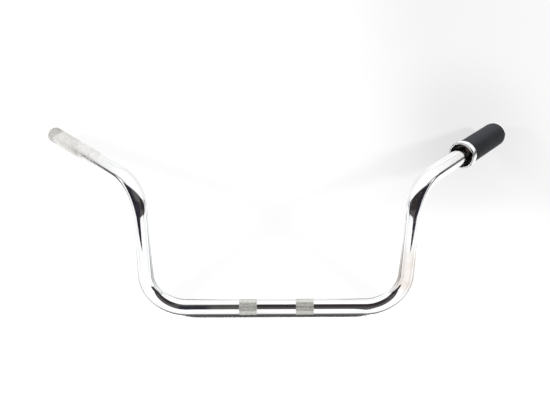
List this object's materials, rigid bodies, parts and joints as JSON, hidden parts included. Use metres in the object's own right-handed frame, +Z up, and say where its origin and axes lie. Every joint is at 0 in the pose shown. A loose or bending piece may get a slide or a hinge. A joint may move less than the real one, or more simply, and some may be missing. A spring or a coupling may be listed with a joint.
{
  "type": "motorcycle handlebar",
  "caption": "Chromed high-rise motorcycle handlebar with pulled-back arms, knurled riser clamp zones, a black rubber twist grip on one arm and a bare opposite arm.",
  "frame": {"origin": "the middle of the centre bar, half way between the two knurled clamp zones, on the tube's axis", "axes": "+X along the centre bar towards the arm that carries the grip; +Y horizontal, towards the ends of the arms; +Z up from the bench that the bar lies on, with the bench at z = -12.7 mm"},
  "size_m": [0.7673, 0.3218, 0.1418],
  "materials": {
    "bar_chrome": "polished chrome plate, fine scuffs, dull where the old grip sat",
    "trim_chrome": "polished chrome plate",
    "grip_rubber": "smooth matt black rubber",
    "sleeve_plastic": "moulded black plastic",
    "washer_nylon": "natural nylon",
    "bush_aluminium": "turned",
    "zinc_steel": "bright zinc plate",
    "expander_rubber": "matt black rubber"
  },
  "bodies": {
    "bar": {"handlebar_tube": "bar_chrome", "spacer_bush": "bush_aluminium", "thrust_washer": "washer_nylon", "end_cap": "trim_chrome", "lock_washer": "zinc_steel", "cap_screw": "zinc_steel", "expander_sleeve": "expander_rubber", "wedge_nut": "zinc_steel"},
    "twist_grip": {"throttle_sleeve": "sleeve_plastic", "grip_rubber": "grip_rubber", "grip_collar": "trim_chrome"}
  },
  "joints": [
    {"name": "grip_twist", "type": "hinge", "parent": "bar", "child": "twist_grip", "pos_m": [0.3332, 0.26008, 0.03578], "axis": [-0.696, -0.5163, 0.4989], "range_deg": [0, 80]}
  ]
}
